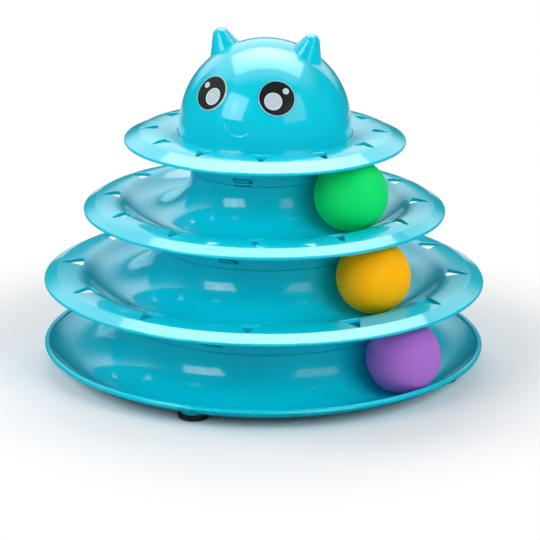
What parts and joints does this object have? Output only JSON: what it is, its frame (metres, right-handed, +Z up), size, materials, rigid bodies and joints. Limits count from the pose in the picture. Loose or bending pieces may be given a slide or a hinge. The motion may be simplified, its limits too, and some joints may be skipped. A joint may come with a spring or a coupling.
{
  "type": "cat ball track toy",
  "caption": "Stacked ring tracks with loose balls under vented brims, topped by a domed cat's head, standing on rubber pads; a cat bats the balls round the tracks.",
  "frame": {"origin": "on the tower's axis, at the floor that the foot pads stand on", "axes": "+Z up along the tower's axis, -Y out of the cat's face, +X towards the cat's right ear as seen from the front"},
  "size_m": [0.2448, 0.2448, 0.1866],
  "materials": {
    "tower_plastic": "polished, moulded in cyan",
    "printed_eye": "glossy film printed black with grey and white highlights",
    "green_ball_plastic": "satin, moulded in green",
    "orange_ball_plastic": "satin, moulded in orange",
    "purple_ball_plastic": "satin, moulded in purple",
    "foot_rubber": "matt black"
  },
  "bodies": {
    "tower": {"base_tray": "tower_plastic", "middle_tray": "tower_plastic", "upper_tray": "tower_plastic", "top_plate": "tower_plastic", "head_dome": "tower_plastic", "left_eye": "printed_eye", "right_eye": "printed_eye", "front_foot_pad": "foot_rubber", "right_foot_pad": "foot_rubber", "rear_foot_pad": "foot_rubber", "left_foot_pad": "foot_rubber"},
    "upper_ball": {"green_ball": "green_ball_plastic"},
    "middle_ball": {"orange_ball": "orange_ball_plastic"},
    "lower_ball": {"purple_ball": "purple_ball_plastic"}
  },
  "joints": [
    {"name": "upper_ball_orbit", "type": "hinge", "parent": "tower", "child": "upper_ball", "pos_m": [0, 0, 0.1069], "axis": [0, 0, 1], "continuous": true},
    {"name": "middle_ball_orbit", "type": "hinge", "parent": "tower", "child": "middle_ball", "pos_m": [0, 0, 0.0664], "axis": [0, 0, 1], "continuous": true},
    {"name": "lower_ball_orbit", "type": "hinge", "parent": "tower", "child": "lower_ball", "pos_m": [0, 0, 0.0259], "axis": [0, 0, 1], "continuous": true}
  ]
}
